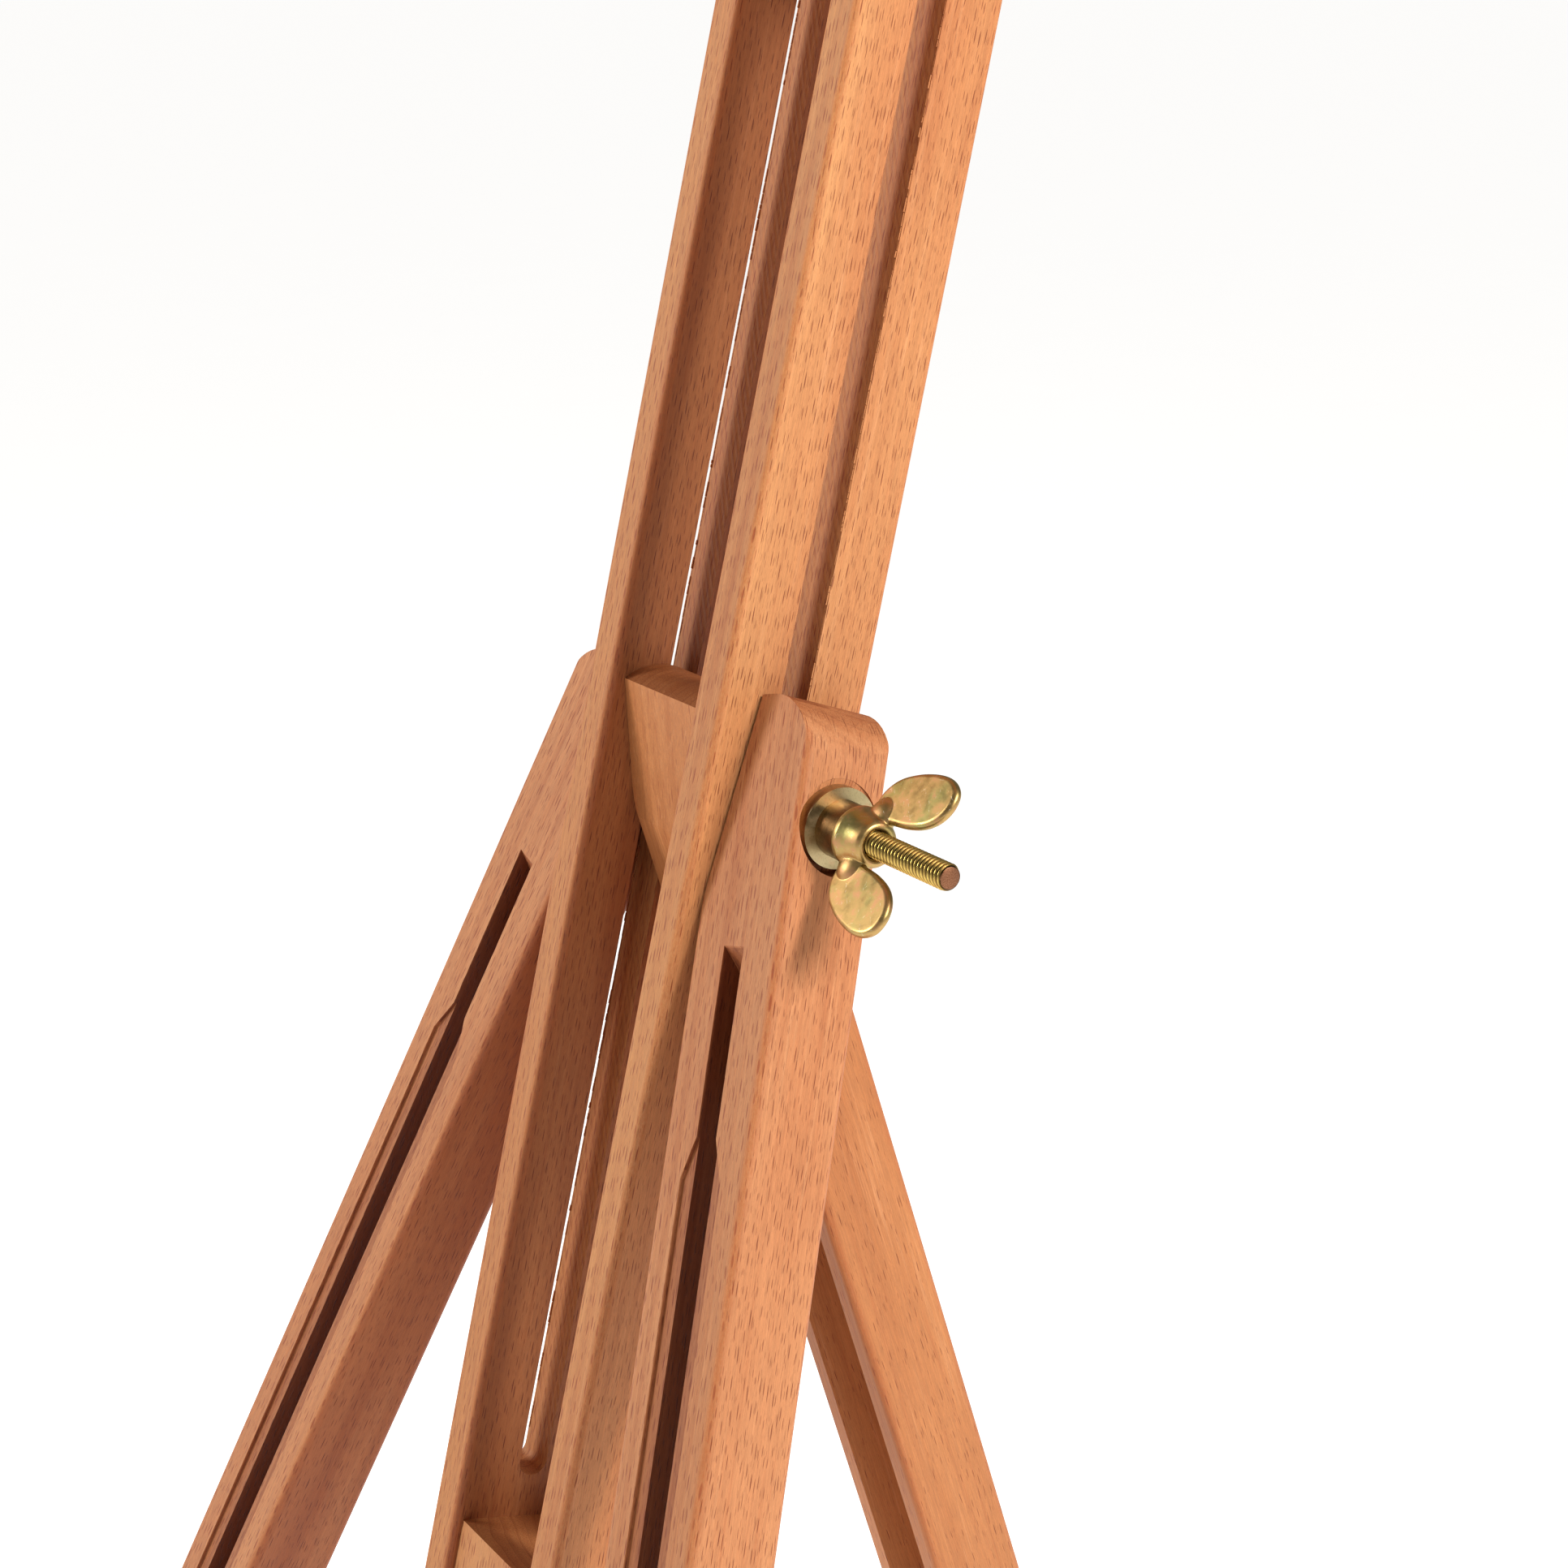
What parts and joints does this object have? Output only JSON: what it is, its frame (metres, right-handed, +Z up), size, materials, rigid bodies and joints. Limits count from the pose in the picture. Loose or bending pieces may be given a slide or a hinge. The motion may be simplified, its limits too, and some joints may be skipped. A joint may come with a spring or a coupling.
{
  "type": "artist easel",
  "caption": "Folding tripod artist's easel in oiled beech: slotted mast on one head bolt, splayed telescopic legs, sliding canvas ledge and top clamp, wing nuts.",
  "frame": {"origin": "on the floor at the middle of the easel's outline from above", "axes": "+Z up, -Y towards the painter, +X to the painter's right as they face the easel"},
  "size_m": [0.5856, 0.5242, 1.741],
  "materials": {
    "beech_mast": "oiled beech",
    "beech_leg": "oiled beech",
    "beech_pale": "oiled pale beech",
    "zinc_yellow": "yellow zinc plate",
    "zinc_wing": "yellow zinc plate, satin",
    "bronze_bush": "dark bronze",
    "rubber_foot": "matt black rubber"
  },
  "bodies": {
    "rear_upper": {"rear_leg_upper": "beech_pale"},
    "head_pin": {"head_bolt": "zinc_yellow", "head_washers": "zinc_yellow", "head_bush": "bronze_bush"},
    "head_nut": {"head_wing_nut": "zinc_wing"},
    "mast": {"rail_left": "beech_mast", "rail_right": "beech_mast", "mast_foot_block": "beech_mast", "mast_top_block": "beech_mast", "mast_screws": "zinc_yellow"},
    "ledge": {"ledge_tongue": "beech_mast", "ledge_shelf": "beech_mast", "ledge_lip": "beech_mast", "ledge_bolt": "zinc_yellow", "ledge_washers": "zinc_yellow", "ledge_screws": "zinc_yellow"},
    "ledge_nut": {"ledge_wing_nut": "zinc_wing"},
    "top_clamp": {"top_tongue": "beech_mast", "top_hook": "beech_mast", "top_bolt": "zinc_yellow", "top_washers": "zinc_yellow", "top_screws": "zinc_yellow"},
    "top_nut": {"top_wing_nut": "zinc_wing"},
    "left_upper": {"left_leg_upper": "beech_leg"},
    "left_lower": {"left_leg_lower": "beech_leg", "left_clamp_bolt": "zinc_yellow", "left_clamp_washers": "zinc_yellow", "left_foot": "rubber_foot"},
    "left_nut": {"left_clamp_wing_nut": "zinc_wing"},
    "right_upper": {"right_leg_upper": "beech_leg"},
    "right_lower": {"right_leg_lower": "beech_leg", "right_clamp_bolt": "zinc_yellow", "right_clamp_washers": "zinc_yellow", "right_foot": "rubber_foot"},
    "right_nut": {"right_clamp_wing_nut": "zinc_wing"},
    "rear_lower": {"rear_leg_lower": "beech_pale", "rear_clamp_bolt": "zinc_yellow", "rear_clamp_washers": "zinc_yellow", "rear_foot": "rubber_foot"},
    "rear_nut": {"rear_clamp_wing_nut": "zinc_wing"}
  },
  "joints": [
    {"name": "mast_tilt", "type": "hinge", "parent": "rear_upper", "child": "head_pin", "pos_m": [0, 0.00636, 0.8], "axis": [1, 0, 0], "range_deg": [-20, 13]},
    {"name": "head_nut_spin", "type": "hinge", "parent": "head_pin", "child": "head_nut", "pos_m": [0, 0.00636, 0.8], "axis": [1, 0, 0], "continuous": true},
    {"name": "mast_slide", "type": "slide", "parent": "head_pin", "child": "mast", "axis": [0, 0.225, 0.9744], "range_m": [-0.06, 0.08]},
    {"name": "ledge_slide", "type": "slide", "parent": "mast", "child": "ledge", "axis": [0, 0.225, 0.9744], "range_m": [-0.15, 0.35]},
    {"name": "ledge_nut_spin", "type": "hinge", "parent": "ledge", "child": "ledge_nut", "pos_m": [0.06, 0.07362, 1.09134], "axis": [1, 0, 0], "continuous": true},
    {"name": "top_slide", "type": "slide", "parent": "mast", "child": "top_clamp", "axis": [0, 0.225, 0.9744], "range_m": [-0.35, 0.04]},
    {"name": "top_nut_spin", "type": "hinge", "parent": "top_clamp", "child": "top_nut", "pos_m": [0.06, 0.18317, 1.56585], "axis": [1, 0, 0], "continuous": true},
    {"name": "left_leg_swing", "type": "hinge", "parent": "rear_upper", "child": "left_upper", "pos_m": [0, 0.00636, 0.8], "axis": [1, 0, 0], "range_deg": [-6, 30]},
    {"name": "right_leg_swing", "type": "hinge", "parent": "rear_upper", "child": "right_upper", "pos_m": [0, 0.00636, 0.8], "axis": [1, 0, 0], "range_deg": [-6, 30]},
    {"name": "rear_leg_slide", "type": "slide", "parent": "rear_upper", "child": "rear_lower", "axis": [0, -0.3057, 0.9521], "range_m": [-0.04, 0.28]},
    {"name": "rear_nut_spin", "type": "hinge", "parent": "rear_lower", "child": "rear_nut", "pos_m": [0, 0.15227, 0.41098], "axis": [0, 0.9521, 0.3057], "continuous": true},
    {"name": "left_leg_slide", "type": "slide", "parent": "left_upper", "child": "left_lower", "axis": [0.2487, 0.3217, 0.9136], "range_m": [-0.04, 0.285]},
    {"name": "left_nut_spin", "type": "hinge", "parent": "left_lower", "child": "left_nut", "pos_m": [-0.15323, -0.08293, 0.41096], "axis": [0, 0.9432, -0.3322], "continuous": true},
    {"name": "right_leg_slide", "type": "slide", "parent": "right_upper", "child": "right_lower", "axis": [-0.2487, 0.3217, 0.9136], "range_m": [-0.04, 0.285]},
    {"name": "right_nut_spin", "type": "hinge", "parent": "right_lower", "child": "right_nut", "pos_m": [0.15323, -0.08293, 0.41096], "axis": [0, 0.9432, -0.3322], "continuous": true}
  ]
}
